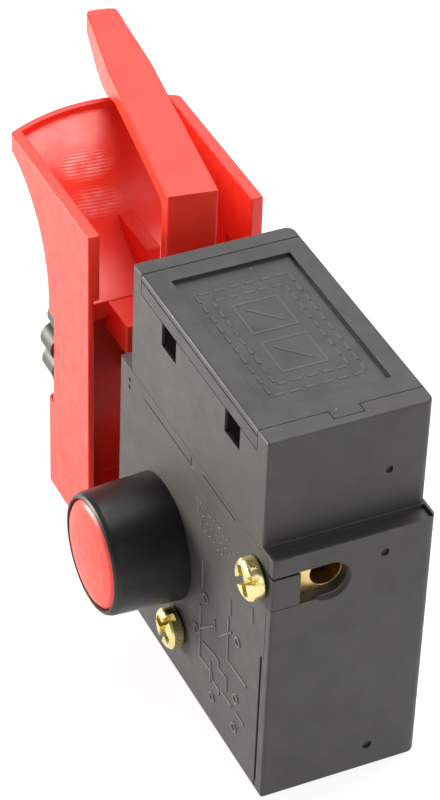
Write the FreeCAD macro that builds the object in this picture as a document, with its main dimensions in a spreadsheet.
import FreeCAD, Part
import math
import os
import re

import Sketcher

# Trigger switch of a hand-held power tool, in millimetres.
# -X is the trigger side, +X the supply side, -Y the lock button side, +Z up.
# The origin is the centre of the housing's bottom face.

SIZES = {
    # housing: a long lower block, and a shorter upper block for the reversing switch
    "half_width": 10.5,
    "lower_front": -21.6,
    "lower_rear": 21.6,
    "deck_top": 36.7,
    "rear_ledge": 37.4,
    "upper_front": -18.4,
    "upper_rear": 18.8,
    "top_z": 52.5,
    "wall": 1.6,
    "side_wall": 1.5,
    "front_bar": 2.4,
    "rear_bar": 2.7,
    "edge_round": 0.35,
    "corner_round": 1.2,
    "seam": 0.1,
    "wide_seam": 0.35,
    # side cover and its tongues
    "cover_rear": 20.35,
    "cover_rear_low": 19.5,
    "cover_step_z": 21.5,
    "line_width": 0.22,
    "line_depth": 0.2,
    # lid
    "lid_front": -15.85,
    "lid_rear": 16.0,
    "lid_under": 49.7,
    "lid_line": 51.45,
    "lid_groove": 0.4,
    "lid_tab_rear": 17.45,
    "recess_half_x": 13.25,
    "recess_half_y": 7.8,
    "recess_depth": 0.6,
    "hook_width": 4.0,
    "hook_height": 3.4,
    "front_hook_x": -7.8,
    "rear_hook_x": 9.7,
    # wire entries and terminals
    "screw_rear_x": 17.9,
    "screw_rear_z": 32.4,
    "screw_low_x": -3.0,
    "screw_low_z": 7.5,
    "wire_y": -2.9,
    "wire_r": 2.0,
    "window_r": 2.45,
    "window_reach_y": -3.1,
    "tongue_y": -6.9,
    "low_tongue_y": -6.2,
    "tongue_thick": 1.35,
    "lead_r": 1.45,
    "head_r": 2.65,
    "head_height": 1.9,
    "slot_half": 0.5,
    "cross_half": 0.62,
    "shank_r": 1.22,
    # lock button and its collar
    "lock_x": -7.94,
    "lock_z": 18.3,
    "collar_r": 8.25,
    "collar_tip_r": 7.85,
    "collar_tip_y": -20.2,
    "collar_bore_r": 7.05,
    "button_r": 6.95,
    "button_face_y": -20.3,
    "button_dome": 0.6,
    "stem_r": 2.0,
    # trigger
    "trigger_half": 11.8,
    "trigger_wall": 1.5,
    "trigger_top": 49.6,
    "trigger_rear": -28.9,
    "trigger_rear_low": -27.9,
    "trigger_bottom": 2.8,
    "finger_x": -41.8,
    "finger_low_x": -41.2,
    "scoop_r": 15.5,
    "scoop_z": 31.5,
    "tip_x": -53.9,
    "finger_bulge": 1.7,
    "tip_bulge": 3.3,
    "nose_extra": 0.6,
    "hollow_run_out": 4.0,
    "thin_wall": 0.75,
    "thin_wall_top": 40.0,
    "nose_round": 0.9,
    "shelf_top": 35.4,
    "shelf_rear": -33.7,
    "ramp_r": 18.0,
    "ramp_x": -31.5,
    "ramp_top": 42.3,
    "arm_half": 6.9,
    # speed dial and its stop
    "dial_z": 23.7,
    "dial_r": 12.2,
    "dial_front": -43.3,
    "dial_back": -39.9,
    "dial_root_r": 11.2,
    "dial_lobes": 18,
    "lobe_r": 2.1,
    "spindle_r": 1.5,
    # plunger
    "plunger_half": 2.8,
    "neck_low": 30.3,
    "neck_high": 34.7,
    "spring_z": 14.5,
    # reversing lever
    "pivot_x": -20.2,
    "lever_angle": -8.6,
    "lever_top": 54.5,
    "lever_tip": 51.2,
    "lever_heel": 6.2,
    "lever_heel_half": 3.2,
    "lever_mid_half": 2.95,
    "lever_tip_half": 2.1,
    "pin_r": 1.0,
    "tail_reach": 8.2,
    "carriage_half_y": 4.5,
    # main contacts and speed control
    "bridge_x": -16.2,
    "bridge_y": 2.85,
    "bridge_z": 27.0,
    "rail_y": 3.55,
    "rail_low_z": 22.6,
    "rail_high_z": 28.8,
    "rail_tall": 2.6,
    "wiper_x": -17.0,
    "track_z": 13.1,
    # circuit board and what stands on it
    "board_y": 6.4,
    "board_thick": 1.2,
    "plate_y": 3.4,
    "plate_x": 7.4,
    "triac_z": 20.6,
    "lead_pitch": 2.6,
    "clip_half_x": 2.0,
    "clip_half_y": 2.4,
    "link_y": 0.6,
    "link_thick": 0.7,
}

AXIS_TURN = {
    "X": FreeCAD.Rotation(FreeCAD.Vector(0, 1, 0), 90),
    "Y": FreeCAD.Rotation(FreeCAD.Vector(1, 0, 0), -90),
    "Z": FreeCAD.Rotation(),
}

doc = FreeCAD.newDocument("TriggerSwitch")
sheet = doc.addObject("Spreadsheet::Sheet", "Sizes")
for row, (alias, size) in enumerate(SIZES.items(), start=1):
    sheet.set(f"A{row}", str(size))
    sheet.setAlias(f"A{row}", alias)
doc.recompute()


def formula(text):
    """Point every size name in a formula at its cell in the sheet."""
    return re.sub(r"[A-Za-z_]\w*", lambda word: "Sizes." + word.group(), str(text))


def number(text):
    """Work a formula out to a plain number, in millimetres."""
    return float(sheet.evalExpression(formula(text)))


def bind(thing, **fields):
    """Bind properties of an object to formulas; Base_x means Placement.Base.x."""
    for field, text in fields.items():
        path = field.replace("Base_", "Placement.Base.")
        thing.setExpression(path, formula(text))


# ---------- simple solids ----------

def block(name, x_span, y_span, z_span):
    """A box from its low to its high formula along each axis."""
    box = doc.addObject("Part::Box", name)
    sizes = [f"({high}) - ({low})" for low, high in (x_span, y_span, z_span)]
    bind(box, Length=sizes[0], Width=sizes[1], Height=sizes[2])
    bind(box, Base_x=x_span[0], Base_y=y_span[0], Base_z=z_span[0])
    return box


def rod(name, axis, start, length, radius, tip_radius=None):
    """A cylinder or cone along +X, +Y or +Z from a start point."""
    kind = "Part::Cylinder" if tip_radius is None else "Part::Cone"
    solid = doc.addObject(kind, name)
    if tip_radius is None:
        bind(solid, Radius=radius)
    else:
        bind(solid, Radius1=radius, Radius2=tip_radius)
    bind(solid, Height=length)
    solid.Placement.Rotation = AXIS_TURN[axis]
    bind(solid, Base_x=start[0], Base_y=start[1], Base_z=start[2])
    return solid


def fuse(name, *shapes):
    joined = doc.addObject("Part::MultiFuse", name)
    joined.Shapes = list(shapes)
    joined.Refine = True
    return joined


def cut(name, base, *tools):
    tool = tools[0] if len(tools) == 1 else fuse(name + "_tools", *tools)
    left = doc.addObject("Part::Cut", name)
    left.Base = base
    left.Tool = tool
    return left


def common(name, base, tool):
    shared = doc.addObject("Part::Common", name)
    shared.Base = base
    shared.Tool = tool
    return shared


def group(name, *shapes):
    """Several separate solids in one node."""
    together = doc.addObject("Part::Compound", name)
    together.Links = list(shapes)
    return together


def round_edges(name, base, radius, chosen):
    """Round the edges of a solid that a test picks out."""
    doc.recompute()
    size = number(radius)
    rounded = doc.addObject("Part::Fillet", name)
    rounded.Base = base
    edges = base.Shape.Edges
    rounded.Edges = [(i + 1, size, size) for i, edge in enumerate(edges) if chosen(edge)]
    return rounded


# ---------- sketched bodies ----------

def plane(body, role):
    return [part for part in body.Origin.OriginFeatures if part.Role == role][0]


def outline(body, name, role, corners, height=None):
    """A closed sketch whose corners are pairs of formulas."""
    sketch = body.newObject("Sketcher::SketchObject", name)
    sketch.AttachmentSupport = [(plane(body, role), "")]
    sketch.MapMode = "FlatFace"
    if height is not None:
        sketch.setExpression("AttachmentOffset.Base.z", formula(height))
    points = [FreeCAD.Vector(number(u), number(v), 0) for u, v in corners]
    count = len(points)
    for i in range(count):
        sketch.addGeometry(Part.LineSegment(points[i], points[(i + 1) % count]))
    for i in range(count):
        sketch.addConstraint(Sketcher.Constraint("Coincident", i, 2, (i + 1) % count, 1))
    for i, (u, v) in enumerate(corners):
        for kind, text, value in (("DistanceX", u, points[i].x), ("DistanceY", v, points[i].y)):
            place = sketch.addConstraint(Sketcher.Constraint(kind, -1, 1, i, 1, value))
            sketch.setExpression(f"Constraints[{place}]", formula(text))
    return sketch


def disc(body, name, role, radius, centre=(0, 0)):
    """A circle sketch bound to a radius formula."""
    sketch = body.newObject("Sketcher::SketchObject", name)
    sketch.AttachmentSupport = [(plane(body, role), "")]
    sketch.MapMode = "FlatFace"
    middle = FreeCAD.Vector(number(centre[0]), number(centre[1]), 0)
    sketch.addGeometry(Part.Circle(middle, FreeCAD.Vector(0, 0, 1), number(radius)))
    for kind, text, value in (("DistanceX", centre[0], middle.x), ("DistanceY", centre[1], middle.y)):
        place = sketch.addConstraint(Sketcher.Constraint(kind, -1, 1, 0, 3, value))
        sketch.setExpression(f"Constraints[{place}]", formula(text))
    place = sketch.addConstraint(Sketcher.Constraint("Radius", 0, number(radius)))
    sketch.setExpression(f"Constraints[{place}]", formula(radius))
    return sketch


def extrude(body, kind, name, sketch, length, midplane=False, backwards=False):
    """A Pad or a Pocket of a sketch."""
    feature = body.newObject("PartDesign::" + kind, name)
    feature.Profile = sketch
    feature.Midplane = midplane
    feature.Reversed = backwards
    feature.setExpression("Length", formula(length))
    return feature


def turned(name, corners):
    """A body of revolution about its own Z axis; corners are (radius, height)."""
    body = doc.addObject("PartDesign::Body", name)
    sketch = outline(body, name + "_section", "XZ_Plane", corners)
    spin = body.newObject("PartDesign::Revolution", name + "_turn")
    spin.Profile = sketch
    spin.ReferenceAxis = (sketch, ["V_Axis"])
    spin.Angle = 360
    return body


def stand(body, axis, x, y, z):
    """Lay a turned body's own Z axis along a row axis, starting at a point."""
    body.Placement.Rotation = AXIS_TURN[axis]
    bind(body, Base_x=x, Base_y=y, Base_z=z)
    return body


RUNS_PER_TURN = 16
WIRE_SIDES = 8


def coil(name, axis, start, radius, wire, height, turns):
    """A compression spring: a helix of short straight runs, mitred, with an eight-sided wire."""
    steps = turns * RUNS_PER_TURN
    points = []
    for step in range(steps + 1):
        angle = 2 * math.pi * step / RUNS_PER_TURN
        rise = height * step / steps
        points.append(FreeCAD.Vector(radius * math.cos(angle), radius * math.sin(angle), rise))
    path = Part.makePolygon(points)
    along = points[1] - points[0]
    across = FreeCAD.Vector(0, 0, 1).cross(along).normalize()
    upward = along.cross(across).normalize()
    ring = []
    for side in range(WIRE_SIDES + 1):
        angle = 2 * math.pi * side / WIRE_SIDES
        ring.append(points[0] + across * wire * math.cos(angle) + upward * wire * math.sin(angle))
    spring = doc.addObject("Part::Feature", name)
    spring.Shape = path.makePipeShell([Part.makePolygon(ring)], True, True, 1)
    spring.Placement.Rotation = AXIS_TURN[axis]
    bind(spring, Base_x=start[0], Base_y=start[1], Base_z=start[2])
    return spring


# ---------- housing ----------

FULL_Y = ("-half_width", "half_width")
ACROSS = ("-half_width - 1", "half_width + 1")
SIDE_STRIPS = {
    "left": ("-half_width - 1", "-half_width + lid_groove"),
    "right": ("half_width - lid_groove", "half_width + 1"),
}
LEAD_X = (12.0, 17.0)


def upright(edge):
    """Whether an edge runs along Z."""
    box = edge.BoundBox
    return box.XLength + box.YLength < 0.01


def case_blank():
    """The outside of the closed switch case, before it is split into shell, cover and lid."""
    lower = block("lower_block", ("lower_front", "lower_rear"), FULL_Y, (0, "deck_top"))
    rear_step = block("rear_step", ("upper_rear - 1", "lower_rear"), FULL_Y, (1, "rear_ledge"))
    upper = block("upper_block", ("upper_front", "upper_rear"), FULL_Y, (1, "top_z"))
    whole = fuse("case_union", lower, rear_step, upper)
    right = number("half_width")
    corners = round_edges("case_corners", whole, "corner_round",
                          lambda edge: upright(edge) and abs(edge.CenterOfMass.y - right) < 0.01)
    softened = round_edges("case_left_corners", corners, "edge_round",
                           lambda edge: upright(edge) and abs(edge.CenterOfMass.y + right) < 0.01)
    top = number("top_z")
    return round_edges("case_blank", softened, "edge_round",
                       lambda edge: abs(edge.BoundBox.ZMin - top) < 0.01 or edge.BoundBox.ZMax < 0.01)


def cover_zone(name, gap):
    """The space of the side cover: a plate, and tongues over the rear and bottom wire windows."""
    inner = f"-half_width + side_wall + {gap} / 2"
    outside_y = "-half_width - 1"
    high = block(name + "_high", ("lower_front - 1", f"cover_rear + {gap}"), (outside_y, inner),
                 ("cover_step_z", f"deck_top - seam + {gap}"))
    low = block(name + "_low", ("lower_front - 1", f"cover_rear_low + {gap} * 3"), (outside_y, inner),
                (-1, "cover_step_z"))
    rear_low = f"screw_rear_z - window_r - {gap}"
    rear_high = f"screw_rear_z + window_r - wide_seam + {gap} * 3"
    rear = block(name + "_rear_tongue", (f"lower_rear - tongue_thick - {gap}", "lower_rear + 1"),
                 (outside_y, f"tongue_y + {gap}"), (rear_low, rear_high))
    bottom = block(name + "_bottom_tongue",
                   (f"screw_low_x - window_r - {gap}", f"screw_low_x + window_r - wide_seam + {gap} * 3"),
                   (outside_y, f"low_tongue_y + {gap}"), (-1, f"tongue_thick + {gap}"))
    return fuse(name, high, low, rear, bottom)


def wire_windows():
    """A slot in the rear wall, round at its closed end, and a round hole and a tongue's slot in the floor."""
    rear_span = ("lower_rear - wall - 0.05", "lower_rear + 1")
    rear_slot = block("rear_slot", rear_span, ("-half_width - 1", "window_reach_y"),
                      ("screw_rear_z - window_r", "screw_rear_z + window_r"))
    rear_end = rod("rear_slot_end", "X", ("lower_rear - wall - 0.05", "window_reach_y", "screw_rear_z"),
                   "wall + 1", "window_r")
    rear_lead = rod("rear_slot_lead", "X", ("lower_rear - 0.5", "window_reach_y", "screw_rear_z - 0.3"),
                    "0.6", "window_r", "window_r + 0.4")
    low_slot = block("low_slot", ("screw_low_x - window_r", "screw_low_x + window_r"),
                     ("-half_width - 1", "low_tongue_y"), (-1, "wall + 0.05"))
    low_window = rod("low_window", "Z", ("screw_low_x", "wire_y", -1), "wall + 1.05", "wire_r")
    return [rear_slot, rear_end, rear_lead, low_slot, low_window]


def hook_windows():
    """The lid's four snap windows, two through each side wall."""
    windows = []
    for end in ("front", "rear"):
        middle = f"{end}_hook_x"
        span = (f"{middle} - hook_width / 2", f"{middle} + hook_width / 2")
        windows.append(block(f"{end}_windows", span, ACROSS, ("lid_under - hook_height", "lid_under + 1")))
    return windows


def main_housing(blank):
    """The deep shell that holds the works: closed on the right, open to the side cover and the lid."""
    lower_room = block("lower_room", ("lower_front + wall", "lower_rear - wall"),
                       ("-half_width - 1", "half_width - side_wall"), ("wall", "deck_top - wall"))
    upper_room = block("upper_room", ("upper_front + front_bar", "upper_rear - rear_bar"),
                       ("-half_width + side_wall", "half_width - side_wall"), ("deck_top", "top_z + 1"))
    lid_room = block("lid_room", ("lid_front - 0.15", "lid_rear + 0.1"), ACROSS, ("lid_under", "top_z + 1"))
    lid_seams = [block(f"lid_seam_{side}", ("lid_front", "lid_rear"), strip,
                       ("lid_under - 0.16", "lid_under + 0.1"))
                 for side, strip in SIDE_STRIPS.items()]
    tab_room = block("lid_tab_room", ("lid_rear - 1", "lid_tab_rear + 0.1"), (-1.8, 2.2),
                     ("top_z - wall - 0.1", "top_z + 1"))
    neck_hole = block("plunger_hole", ("lower_front - 1", "lower_front + wall + 1"), (-3.35, 3.35),
                      ("neck_low - 0.15", "neck_high + 0.15"))
    tail_slot = block("lever_tail_slot", ("upper_front - 1", "upper_front + front_bar + 1"), (-4.8, 4.8),
                      (37.6, 46.0))
    pin_hole = rod("pivot_pin_hole", "Z", ("pivot_x", 0, "deck_top - 1.4"), 3, "pin_r")
    gutter = block("ledge_gutter", ("upper_rear + 0.1", "lower_rear - edge_round"),
                   ("-half_width + edge_round", "half_width - edge_round"),
                   ("rear_ledge - 0.6", "rear_ledge + 0.5"))
    lead_holes = [rod(f"motor_lead_hole_{place}", "Z", (x, 0, -1), "wall + 2", "lead_r")
                  for place, x in enumerate(LEAD_X, start=1)]
    dimples = [rod("dimple_upper", "X", ("upper_rear - 0.4", 5.2, 44.0), 1, 0.5),
               rod("dimple_ledge", "X", ("lower_rear - 0.4", 3.9, 34.2), 1, 0.55),
               rod("dimple_low", "X", ("lower_rear - 0.4", 3.6, 3.6), 1, 0.6)]
    pin_marks = [rod(f"pin_mark_{place}", "Y", (-16.2, "half_width - 0.3", z), 1, 0.9)
                 for place, z in enumerate((8.0, 30.0), start=1)]
    shell = cut("housing_shell", blank, lower_room, upper_room, lid_room, tab_room, neck_hole, tail_slot,
                pin_hole, gutter, cover_zone("cover_room", "seam"), *wire_windows(), *hook_windows(),
                *lead_holes, *lid_seams, *dimples, *pin_marks)
    spring_post = block("spring_post", (7.0, 8.6), (-3, 3), ("wall - 0.1", "spring_z + 2.7"))
    ear_bar = block("pivot_ear_bar", ("pivot_x - 2.4", "upper_front + 0.1"), (-3, 3), (45.9, 47.2))
    ear_hole = rod("pivot_ear_hole", "Z", ("pivot_x", 0, 45), 3, "pin_r")
    return fuse("main_housing", shell, spring_post, cut("pivot_ear", ear_bar, ear_hole))


def engraved_lines():
    """Fine moulded lines on the cover's face."""
    face = ("-half_width - 1", "-half_width + line_depth")
    edge_low = "deck_top - 1.85"
    return [
        block("line_flap_low", (-14.2, -0.6), face, (edge_low, f"{edge_low} + line_width")),
        block("line_flap_end", (-0.8, "-0.8 + line_width"), face, (edge_low, "deck_top - 0.5")),
        block("line_flap_high", (2.6, 11.6), face, ("deck_top - 1.0", "deck_top - 1.0 + line_width")),
        rod("dot_high", "Y", (-18.7, face[0], 34.8), "line_depth + 1", 0.28),
        rod("dot_low", "Y", (-18.7, face[0], 33.7), "line_depth + 1", 0.28),
    ]


def side_cover(blank):
    """The snap-on side plate, which carries the lock collar and closes the wire windows."""
    plate = common("cover_plate", blank, cover_zone("cover_space", "0"))
    collar_hole = rod("collar_hole", "Y", ("lock_x", "-half_width - 1", "lock_z"), "side_wall + 2", 7.3)
    screw_holes = [rod(f"screw_hole_{end}", "Y", (f"screw_{end}_x", "-half_width - 1", f"screw_{end}_z"),
                       "side_wall + 2", 1.7)
                   for end in ("rear", "low")]
    return cut("side_cover", plate, collar_hole, *screw_holes, *engraved_lines())


def top_lid(blank):
    """The lid over the reversing switch, with four snap hooks and a sunken panel."""
    zone = block("lid_space", ("lid_front", "lid_rear"), ACROSS, ("lid_under", "top_z + 1"))
    tab = block("lid_tab", ("lid_rear - 1", "lid_tab_rear"), (-1.7, 2.1), ("top_z - wall", "top_z + 1"))
    plate = common("lid_plate", blank, fuse("lid_zone", zone, tab))
    recess = block("lid_recess", ("-recess_half_x - 0.15", "recess_half_x - 0.15"),
                   ("-recess_half_y", "recess_half_y"), ("top_z - recess_depth", "top_z + 1"))
    grooves = [block(f"lid_groove_{side}", ("lid_front - 1", "lid_rear + 1"), strip,
                     ("lid_line", "lid_line + line_width"))
               for side, strip in SIDE_STRIPS.items()]
    panel = cut("lid_panel", plate, recess, *grooves)
    hooks = []
    for end in ("front", "rear"):
        for side, sign in (("left", -1), ("right", 1)):
            wall_in = "(half_width - side_wall)"
            legs = sorted((f"{sign} * ({wall_in} - 0.1)", f"{sign} * ({wall_in} - 1.3)"), key=number)
            barbs = sorted((f"{sign} * (half_width - 0.35)", f"{sign} * ({wall_in} - 0.2)"), key=number)
            middle = f"{end}_hook_x"
            leg_half = "(hook_width / 2 - 0.3)"
            barb_half = "(hook_width / 2 - 0.15)"
            hooks.append(block(f"hook_leg_{end}_{side}",
                               (f"{middle} - {leg_half}", f"{middle} + {leg_half}"), legs,
                               ("lid_under - hook_height + 0.3", "lid_under + 0.1")))
            hooks.append(block(f"hook_barb_{end}_{side}",
                               (f"{middle} - {barb_half}", f"{middle} + {barb_half}"), barbs,
                               ("lid_under - hook_height + 0.25", "lid_under - 0.5")))
    return fuse("top_lid", panel, *hooks)


# ---------- terminals and screws ----------

def terminal(name, x_span, z_span, hole, screw_x, screw_z):
    """A brass block with a wire hole and a clamp screw's thread that meets it."""
    body = block(name + "_blank", x_span, (-7.4, 0.5), z_span)
    thread = rod(name + "_thread", "Y", (screw_x, -8, screw_z), 5, "shank_r + 0.02")
    return cut(name, body, hole, thread)


def terminal_blocks():
    """The rear block behind its window, and the low block over the floor's round window."""
    rear_hole = rod("rear_wire_hole", "X", (12, "wire_y", "screw_rear_z"), 9, "wire_r")
    terminal("rear_terminal_block", (13.6, "lower_rear - wall - 0.05"), (29.0, 35.0), rear_hole,
             "screw_rear_x", "screw_rear_z")
    low_hole = rod("low_wire_hole", "Z", ("screw_low_x", "wire_y", 1), 10, "wire_r")
    terminal("low_terminal_block", (-6.6, 0.6), (1.7, 9.2), low_hole, "screw_low_x", "screw_low_z")


def clamp_screw(name, x, z, turn):
    """A pan head screw with a cross recess crossed by a full slot, head towards -Y."""
    body = doc.addObject("PartDesign::Body", name)
    section = outline(body, name + "_section", "XZ_Plane", [
        (0, 0), ("shank_r", 0), ("shank_r", 5.2), ("head_r - 0.2", 5.2), ("head_r", 5.45),
        ("head_r", "4.75 + head_height"), ("head_r - 0.2", "5 + head_height"),
        ("head_r - 0.6", "5.2 + head_height"), (0, "5.2 + head_height")])
    spin = body.newObject("PartDesign::Revolution", name + "_turn")
    spin.Profile = section
    spin.ReferenceAxis = (section, ["V_Axis"])
    spin.Angle = 360
    top = "5.2 + head_height"
    slot = outline(body, name + "_slot", "XY_Plane",
                   [("-head_r - 1", "-slot_half"), ("head_r + 1", "-slot_half"),
                    ("head_r + 1", "slot_half"), ("-head_r - 1", "slot_half")], top)
    extrude(body, "Pocket", name + "_slot_cut", slot, 1.15)
    cross = outline(body, name + "_cross", "XY_Plane", [
        ("-cross_half", -1.9), ("cross_half", -1.9), ("cross_half", 1.9), ("-cross_half", 1.9)], top)
    extrude(body, "Pocket", name + "_cross_cut", cross, 1.45)
    core = outline(body, name + "_core", "XY_Plane", [(0, -1.4), (1.4, 0), (0, 1.4), (-1.4, 0)], top)
    extrude(body, "Pocket", name + "_core_cut", core, 1.45)
    lean = FreeCAD.Rotation(FreeCAD.Vector(0, 1, 0), turn)
    body.Placement.Rotation = lean * FreeCAD.Rotation(FreeCAD.Vector(1, 0, 0), 90)
    bind(body, Base_x=x, Base_y="-half_width + 5.1", Base_z=z)
    return body


def terminal_screws():
    return group("terminal_screws",
                 clamp_screw("rear_screw", "screw_rear_x", "screw_rear_z", -36),
                 clamp_screw("low_screw", "screw_low_x", "screw_low_z", -70))


# ---------- lock button ----------

def lock_collar():
    """The guide tube that stands on the cover, with a web for the spring and the stem."""
    foot = "-half_width"
    return stand(turned("lock_collar", [
        ("stem_r + 0.08", f"{foot} + 0.8"), (7.2, f"{foot} + 0.8"), (7.2, f"{foot} - 0.02"),
        ("collar_r", f"{foot} - 0.02"), ("collar_tip_r", "collar_tip_y + 0.8"),
        ("collar_tip_r - 0.2", "collar_tip_y + 0.25"), ("collar_tip_r - 0.5", "collar_tip_y"),
        ("collar_bore_r + 0.1", "collar_tip_y"), ("collar_bore_r", "collar_tip_y + 0.3"),
        ("collar_bore_r", f"{foot} - 0.7"), ("stem_r + 0.08", f"{foot} - 0.7")]),
        "Y", "lock_x", 0, "lock_z")


def lock_button():
    """The push cap with a shallow dome, a skirt and a stem."""
    body = turned("lock_button", [
        (0, "button_face_y - button_dome"), ("button_r * 0.35", "button_face_y - button_dome * 0.9"),
        ("button_r * 0.7", "button_face_y - button_dome * 0.52"), ("button_r * 0.92", "button_face_y"),
        ("button_r", "button_face_y + 0.45"), ("button_r", -16.0), ("button_r - 1.2", -16.0),
        ("button_r - 1.2", -18.6), ("stem_r", -18.6), ("stem_r", -9.9), (0, -9.9)])
    return stand(body, "Y", "lock_x", 0, "lock_z")


def lock_latch():
    """The keeper disc and catch pin on the inner end of the button's stem."""
    body = turned("lock_latch", [(0, -9.9), ("stem_r", -9.9), ("stem_r", -9.3), (3.4, -9.3), (3.4, -8.4),
                                 (1.15, -8.4), (1.15, -6.2), (0, -6.2)])
    return stand(body, "Y", "lock_x", 0, "lock_z")


def lock_spring():
    return coil("lock_spring", "Y", ("lock_x", -18.2, "lock_z"), 3.6, 0.22, 6.7, 5)


# ---------- trigger ----------

def trigger_section(y, inset):
    """The trigger's closed side outline at one station across its width.

    The finger face bulges forward towards the middle, and the nose above it bulges more. With
    an inset the outline is that of the hollow inside, which runs out through the rear and top.
    """
    roundness = 1 - (y / number("trigger_half")) ** 2
    swell = number("finger_bulge") * roundness
    run_out = number("hollow_run_out") if inset else 0
    radius = number("scoop_r") + (inset + number("nose_extra") if inset else 0)
    scoop_z = number("scoop_z")
    scoop_x = number("finger_x") + inset - swell
    tip_x = number("tip_x") + inset * 0.6 - number("tip_bulge") * roundness
    centre_x = scoop_x - radius
    low_x = number("finger_low_x") + inset - swell
    bottom = number("trigger_bottom") + inset
    top = number("trigger_top") + run_out
    slant = radius * 0.5 ** 0.5

    def at(x, z):
        return FreeCAD.Vector(x, y, z)

    heel = at(number("trigger_rear_low") + run_out, bottom)
    toe = at(low_x, bottom)
    scoop_low = at(scoop_x, scoop_z)
    scoop_high = at(tip_x, scoop_z + (radius ** 2 - (tip_x - centre_x) ** 2) ** 0.5)
    tip = at(tip_x, top)
    back = at(number("trigger_rear") + run_out, top)
    edges = [Part.LineSegment(heel, toe),
             Part.LineSegment(toe, scoop_low),
             Part.Arc(scoop_low, at(centre_x + slant, scoop_z + slant), scoop_high),
             Part.LineSegment(scoop_high, tip),
             Part.LineSegment(tip, back),
             Part.LineSegment(back, heel)]
    return Part.Wire([edge.toShape() for edge in edges])


def lofted_trigger(name, half, inset):
    """A solid through side outlines from one side of the trigger to the other."""
    stations = [half * step / 4 for step in range(-4, 5)]
    solid = doc.addObject("Part::Feature", name)
    solid.Shape = Part.makeLoft([trigger_section(y, inset) for y in stations], True, False)
    return solid


def trigger_outside():
    """The trigger's outer shape, with the edges down both sides of its front rounded."""
    blank = lofted_trigger("trigger_outside", number("trigger_half"), 0)
    side = number("trigger_half")
    front = number("finger_low_x") + 1
    bottom = number("trigger_bottom")

    def on_front(edge):
        box = edge.BoundBox
        return abs(abs(edge.CenterOfMass.y) - side) < 0.01 and box.XMax < front and box.ZMin > bottom - 0.01

    return round_edges("trigger_rounded", blank, "nose_round", on_front)


def trigger_inner_parts():
    """The wall and seats behind the dial, the shelf over them, a rib, and the arm that takes the plunger.

    The shelf's top curves up at the front into the inside of the nose, and so roofs the dial's pocket.
    """
    inner_span = ("-trigger_half + trigger_wall - 0.1", "trigger_half - trigger_wall + 0.1")
    seat_high = block("dial_seat_high", (-41.0, -38.0), inner_span, (30.0, "shelf_top"))
    seat_low = block("dial_seat_low", (-41.0, -38.0), inner_span, ("trigger_bottom + 0.1", 16.6))
    shelf_blank = block("shelf_blank", (-48.0, "shelf_rear"), inner_span, ("shelf_top - 2.4", "ramp_top"))
    ramp = rod("shelf_ramp", "Y", ("ramp_x", "-trigger_half", "shelf_top + ramp_r"), "trigger_half * 2",
               "ramp_r")
    shelf = cut("plunger_shelf", shelf_blank, ramp)
    rib = block("middle_rib", (-46.0, -35.5), (-1, 1), ("shelf_top - 1", 40.6))
    ribbed = common("inner_ribs", fuse("inner_parts", seat_high, seat_low, shelf, rib),
                    lofted_trigger("trigger_limit", number("trigger_half"), 0))
    dial_wall = block("dial_wall", ("dial_back + 0.3", -38.0), inner_span, (15.5, 31.0))
    arm = block("plunger_arm", ("shelf_rear - 1", -27.8), ("-arm_half", "arm_half"),
                ("shelf_top - 4.2", "shelf_top"))
    root = block("plunger_root", (-41.5, -31.5), (-4.2, 4.2), ("neck_low - 1", "shelf_top"))
    return [ribbed, dial_wall, arm, root]


def trigger():
    """The red finger trigger: a shell open to the rear and top, with the dial's bearing inside."""
    inside = lofted_trigger("trigger_inside", number("trigger_half - trigger_wall"), number("trigger_wall"))
    thinning = block("side_thinning", (-36.0, "trigger_rear_low + 1"),
                     ("-trigger_half + thin_wall", "trigger_half - thin_wall"),
                     ("trigger_bottom + trigger_wall", "thin_wall_top"))
    shell = cut("trigger_shell", trigger_outside(), inside, thinning)
    notch = block("dial_notch", (-60, "dial_back + 0.3"), ("-trigger_half - 1", "trigger_half + 1"),
                  (16.3, 30.2))
    pocket = rod("dial_pocket", "X", (-60, 0, "dial_z"), "60 + dial_back + 0.3", "dial_r + 0.35")
    bored = rod("spindle_bearing", "X", (-45, 0, "dial_z"), 10, "spindle_r + 0.06")
    socket = block("plunger_socket", (-38.0, -27.0), (-3.22, 3.22), ("neck_low - 0.02", "neck_high + 0.02"))
    filled = fuse("trigger_blank", shell, *trigger_inner_parts())
    return cut("trigger", filled, notch, pocket, bored, socket)


def trigger_plunger():
    """The slide that the trigger pushes into the housing; it carries the bridge, wiper and catch."""
    neck = block("plunger_neck", (-38.0, -19.0), (-3.2, 3.2), ("neck_low", "neck_high"))
    body = block("plunger_body", (-19.5, -9.7), ("-plunger_half", "plunger_half"), (11.0, "neck_high"))
    catch = block("lock_catch", (-11.3, -9.7), (-5.0, "-plunger_half + 0.1"), (16.8, 19.8))
    spring_pocket = rod("spring_pocket", "X", (-13.5, 0, "spring_z"), 5, 2.45)
    bridge_pocket = rod("bridge_pocket", "Y", ("bridge_x", 0.2, "bridge_z"), 4, 1.5)
    return cut("trigger_plunger", fuse("plunger_blank", neck, body, catch), spring_pocket, bridge_pocket)


# ---------- speed dial ----------

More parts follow.
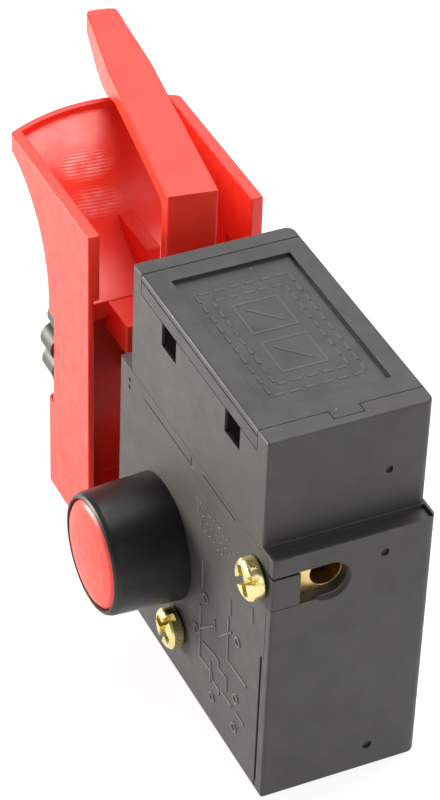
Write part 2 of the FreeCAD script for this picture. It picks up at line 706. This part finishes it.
def speed_dial():
    """The wheel in front of the trigger, on an X axis, with round lobes along its rim for grip."""
    thickness = "dial_back - dial_front"
    body = doc.addObject("PartDesign::Body", "speed_dial")
    extrude(body, "Pad", "dial_disc", disc(body, "dial_root", "XY_Plane", "dial_root_r"), thickness)
    doc.recompute()
    lobe_circle = disc(body, "lobe_circle", "XY_Plane", "lobe_r", ("dial_r - lobe_r", 0))
    lobe = extrude(body, "Pad", "dial_lobe", lobe_circle, thickness)
    doc.recompute()
    lobes = body.newObject("PartDesign::PolarPattern", "dial_lobes")
    lobes.Originals = [lobe]
    lobes.Axis = (plane(body, "Z_Axis"), [""])
    lobes.Angle = 360
    lobes.Occurrences = int(number("dial_lobes"))
    body.Tip = lobes
    doc.recompute()
    bore = disc(body, "dial_bore", "XY_Plane", "spindle_r")
    extrude(body, "Pocket", "dial_bore_cut", bore, thickness, backwards=True)
    body.Placement.Rotation = FreeCAD.Rotation(FreeCAD.Vector(1, 0, 0), 4) * AXIS_TURN["X"]
    bind(body, Base_x="dial_front", Base_y=0, Base_z="dial_z")
    return body


def dial_spindle():
    """The screw that the dial turns; its thread is left as a plain cylinder."""
    rod("dial_spindle", "X", ("dial_front + 0.3", 0, "dial_z"), 12.3, "spindle_r")


def limit_stop():
    """The nut that the dial's screw moves to and fro, kept from turning by the plunger's root."""
    nut = block("limit_nut", (-37.5, -30.8), (-3, 3), ("dial_z - 3.2", 29.1))
    cut("limit_stop", nut, rod("limit_thread", "X", (-38, 0, "dial_z"), 8, "spindle_r + 0.05"))


# ---------- reversing lever ----------

def reversing_lever():
    """The long selector lever, drawn along its own -X and swung about the pivot."""
    body = doc.addObject("PartDesign::Body", "reversing_lever")
    tip = "-lever_tip"
    top = "lever_top"
    profile = outline(body, "lever_side", "XZ_Plane", [
        ("-lever_heel", 38.0), ("-lever_heel", top), (f"{tip} + 1.2", top), (tip, f"{top} - 0.5"),
        (tip, f"{top} - 1.6"), (f"{tip} + 1.6", f"{top} - 2.6"), (f"{tip} + 4.6", f"{top} - 3.5"),
        (f"{tip} + 8.5", f"{top} - 4.3"), (f"{tip} + 12.5", f"{top} - 4.4"),
        (f"{tip} + 16.5", f"{top} - 3.6"), (f"{tip} + 19.5", f"{top} - 2.5"),
        (-9.6, f"{top} - 2.3"), (-8.6, f"{top} - 3.3"), (-8.4, 38.0)])
    extrude(body, "Pad", "lever_bar", profile, "lever_heel_half * 2", midplane=True)
    taper = [("-lever_heel - 2", "lever_heel_half"), (f"{tip} + 15", "lever_mid_half"),
             (f"{tip} + 5.5", "lever_tip_half + 0.2"), (f"{tip} + 1.7", "lever_tip_half"),
             (f"{tip} + 0.7", "lever_tip_half - 0.4"), (f"{tip} + 0.15", "lever_tip_half - 1"),
             (tip, "lever_tip_half - 1.6"), (f"{tip} - 2", "lever_tip_half - 1.6"),
             (f"{tip} - 2", "6"), ("-lever_heel - 2", "6")]
    for side, sign in (("left", -1), ("right", 1)):
        wedge = outline(body, f"taper_{side}", "XY_Plane", [(x, f"{sign} * ({half})") for x, half in taper])
        extrude(body, "Pocket", f"taper_cut_{side}", wedge, "lever_top + 2", backwards=True)
    hub = disc(body, "hub_circle", "XY_Plane", 2.6)
    hub.setExpression("AttachmentOffset.Base.z", "38")
    extrude(body, "Pad", "hub", hub, 7.5)
    web = outline(body, "web_outline", "XY_Plane", [(-8.4, -2.2), (0, -2.2), (0, 2.2), (-8.4, 2.2)], 38)
    extrude(body, "Pad", "web", web, 7.5)
    tail = outline(body, "tail_outline", "XY_Plane",
                   [(0, -0.6), ("tail_reach", -0.6), ("tail_reach", 0.6), (0, 0.6)], 40.8)
    extrude(body, "Pad", "tail", tail, 3)
    knuckle = disc(body, "knuckle_circle", "XY_Plane", 1.15, ("tail_reach", 0))
    knuckle.setExpression("AttachmentOffset.Base.z", "40.8")
    extrude(body, "Pad", "knuckle", knuckle, 3)
    doc.recompute()
    bore = disc(body, "pivot_bore", "XY_Plane", "pin_r + 0.05")
    extrude(body, "Pocket", "pivot_bore_cut", bore, 60, backwards=True)
    body.setExpression("Placement.Rotation.Angle", formula("lever_angle"))
    bind(body, Base_x="pivot_x")
    return body


def pivot_pin():
    rod("lever_pivot_pin", "Z", ("pivot_x", 0, "deck_top - 1.4"), 11.9, "pin_r")


def reversing_carriage():
    """The slide that the lever's tail pushes across, with a slot for the tail."""
    shift = "tail_reach * 0.15"
    x_front = -15.3
    blank = block("carriage_blank", (x_front, -2.0),
                  (f"-carriage_half_y - {shift}", f"carriage_half_y - {shift}"), (37.6, 44.6))
    slot = block("carriage_slot", (-13.3, -9.8), (f"-1.2 - {shift}", f"1.2 - {shift}"), (40.4, 45))
    mouth = block("carriage_mouth", (-16, -13.2), (f"-1.8 - {shift}", f"1.8 - {shift}"), (40.4, 45))
    cut("reversing_carriage", blank, slot, mouth)
    bridges = []
    for place, y in enumerate((-2.6, 2.6), start=1):
        span = (f"{y} - {shift} - 1.2", f"{y} - {shift} + 1.2")
        bridges.append(block(f"bridge_{place}", (-13.8, -3.6), span, ("deck_top + 0.5", 37.6)))
    group("reversing_bridges", *bridges)
    contacts = []
    for x in (-14.6, -5.4):
        for y in (-6.6, 1.2):
            contacts.append(block(f"contact_{len(contacts) + 1}", (x, f"{x} + 3.4"), (y, f"{y} + 4.4"),
                                  ("deck_top", "deck_top + 0.4")))
    group("reversing_contacts", *contacts)


# ---------- contacts and electronics ----------

def contact_set():
    """The sprung bridge on the plunger, the two rails it joins, and the speed wiper on its track."""
    block("contact_bridge", ("bridge_x - 1.8", "bridge_x + 1.8"), ("bridge_y", "bridge_y + 0.5"),
          ("bridge_z - 4.6", "bridge_z + 4.6"))
    coil("contact_spring", "Y", ("bridge_x", 0.45, "bridge_z"), 1.05, 0.2, 2.1, 3)
    rails = []
    for place in ("low", "high"):
        z = f"rail_{place}_z"
        rails.append(block(f"contact_rail_{place}", (-12.9, -2.5), ("rail_y", "rail_y + 0.8"),
                           (z, f"{z} + rail_tall")))
        rails.append(block(f"rail_post_{place}", (-4.5, -3.5), ("rail_y + 0.85", "board_y - 0.05"),
                           (f"{z} + 0.6", f"{z} + 2")))
    group("fixed_contacts", *rails)
    wiper_span = ("wiper_x - 0.6", "wiper_x + 0.6")
    arm = block("wiper_arm", wiper_span, ("bridge_y", 6.1), ("track_z - 0.5", "track_z - 0.1"))
    foot = block("wiper_foot", wiper_span, (5.8, 6.1), ("track_z - 0.9", "track_z + 0.9"))
    fuse("speed_wiper", arm, foot)
    block("speed_track", (-18.6, -7.6), ("board_y - 0.25", "board_y"), ("track_z - 1.1", "track_z + 1.1"))


def triac():
    """The power switch on its heat plate, with three legs down to the board's lower half."""
    block("heat_plate", ("plate_x - 5.9", "plate_x + 5.8"), ("plate_y", "plate_y + 1.4"), (19.8, 34.6))
    case = block("triac_case", ("plate_x - 5", "plate_x + 5"), (-1.0, "plate_y"),
                 ("triac_z", "triac_z + 8.8"))
    legs = []
    for place in (1, 2, 3):
        x = f"plate_x - 0.4 + ({place} - 2) * lead_pitch"
        legs.append(block(f"triac_leg_{place}", (x, f"{x} + 0.8"), (1.0, 1.5),
                          ("triac_z - 3", "triac_z + 0.1")))
    fuse("triac", case, *legs)


def lead_clips():
    """Two clips that take the motor's lead ends through the floor."""
    clips = []
    for place, x in enumerate(LEAD_X, start=1):
        blank = block(f"clip_{place}_blank", (f"{x} - clip_half_x", f"{x} + clip_half_x"),
                      ("-clip_half_y", "clip_half_y"), ("wall + 0.1", 8.0))
        hole = rod(f"clip_{place}_hole", "Z", (x, 0, 1), 5.5, "lead_r")
        clips.append(cut(f"lead_clip_{place}", blank, hole))
    group("motor_lead_clips", *clips)


def link_bars():
    """Bent copper bars from the two terminal blocks to the board."""
    plate_y = ("link_y", "link_y + link_thick")
    foot_y = ("link_y", "board_y - 0.1")
    rear_plate = block("rear_link_plate", (14.0, 19.2), plate_y, (16.0, 34.4))
    rear_foot = block("rear_link_foot", (14.0, 19.2), foot_y, (16.0, 16.8))
    low_foot = block("low_link_foot", (-5.6, -3.6), foot_y, (3.6, 4.4))
    low_plate = block("low_link_plate", (-5.6, -3.6), ("board_y - 0.1 - link_thick", "board_y - 0.1"),
                      (4.3, 9.0))
    group("link_bars", fuse("rear_link_bar", rear_plate, rear_foot),
          fuse("low_link_bar", low_foot, low_plate))


def electronics():
    """The circuit board, the parts on it, and the large capacitor in the upper block."""
    block("circuit_board", (-19.2, 19.2), ("board_y", "board_y + board_thick"), (2.6, 34.4))
    triac()
    block("timing_capacitor", (-6.0, 1.2), ("plate_y", "board_y - 0.05"), (15.4, 20.6))
    group("resistors", *[rod(f"resistor_{place}", "X", (10.4, 5.2, z), 6.8, 1.1)
                         for place, z in enumerate((5.6, 9.2), start=1)])
    block("suppression_capacitor", (1.6, 14.6), (-6, 6), ("deck_top", 48.6))
    lead_clips()
    link_bars()


def build():
    """Make every sub-part of the switch in the document."""
    blank = case_blank()
    main_housing(blank)
    side_cover(blank)
    top_lid(blank)
    terminal_blocks()
    terminal_screws()
    lock_collar()
    lock_button()
    lock_latch()
    lock_spring()
    trigger()
    trigger_plunger()
    coil("return_spring", "X", (-13.2, 0, "spring_z"), 2.0, 0.25, 19.9, 9)
    speed_dial()
    dial_spindle()
    limit_stop()
    reversing_lever()
    pivot_pin()
    reversing_carriage()
    contact_set()
    electronics()


NODES = [
    "main_housing", "side_cover", "top_lid", "rear_terminal_block", "low_terminal_block", "terminal_screws",
    "lock_collar", "lock_button", "lock_latch", "lock_spring", "trigger", "trigger_plunger", "return_spring",
    "speed_dial", "dial_spindle", "limit_stop", "reversing_lever", "lever_pivot_pin", "reversing_carriage",
    "reversing_bridges", "reversing_contacts", "contact_bridge", "contact_spring", "fixed_contacts",
    "speed_wiper", "speed_track", "circuit_board", "heat_plate", "triac", "timing_capacitor", "resistors",
    "suppression_capacitor", "motor_lead_clips", "link_bars",
]

build()
doc.recompute()
for thing in doc.Objects:
    if "Invalid" in thing.State or "Error" in thing.State:
        raise RuntimeError(f"{thing.Name} failed: {thing.State}")
os.makedirs("parts", exist_ok=True)
for node in NODES:
    part = doc.getObject(node)
    part.Label = node
    if part.Shape.isNull() or not part.Shape.isValid() or not part.Shape.Solids:
        raise RuntimeError(f"{node} has no valid solid")
    part.Shape.exportStep(f"parts/{node}.step")
    print(f"{node}: {len(part.Shape.Solids)} solid(s), {part.Shape.Volume:.0f} mm3")
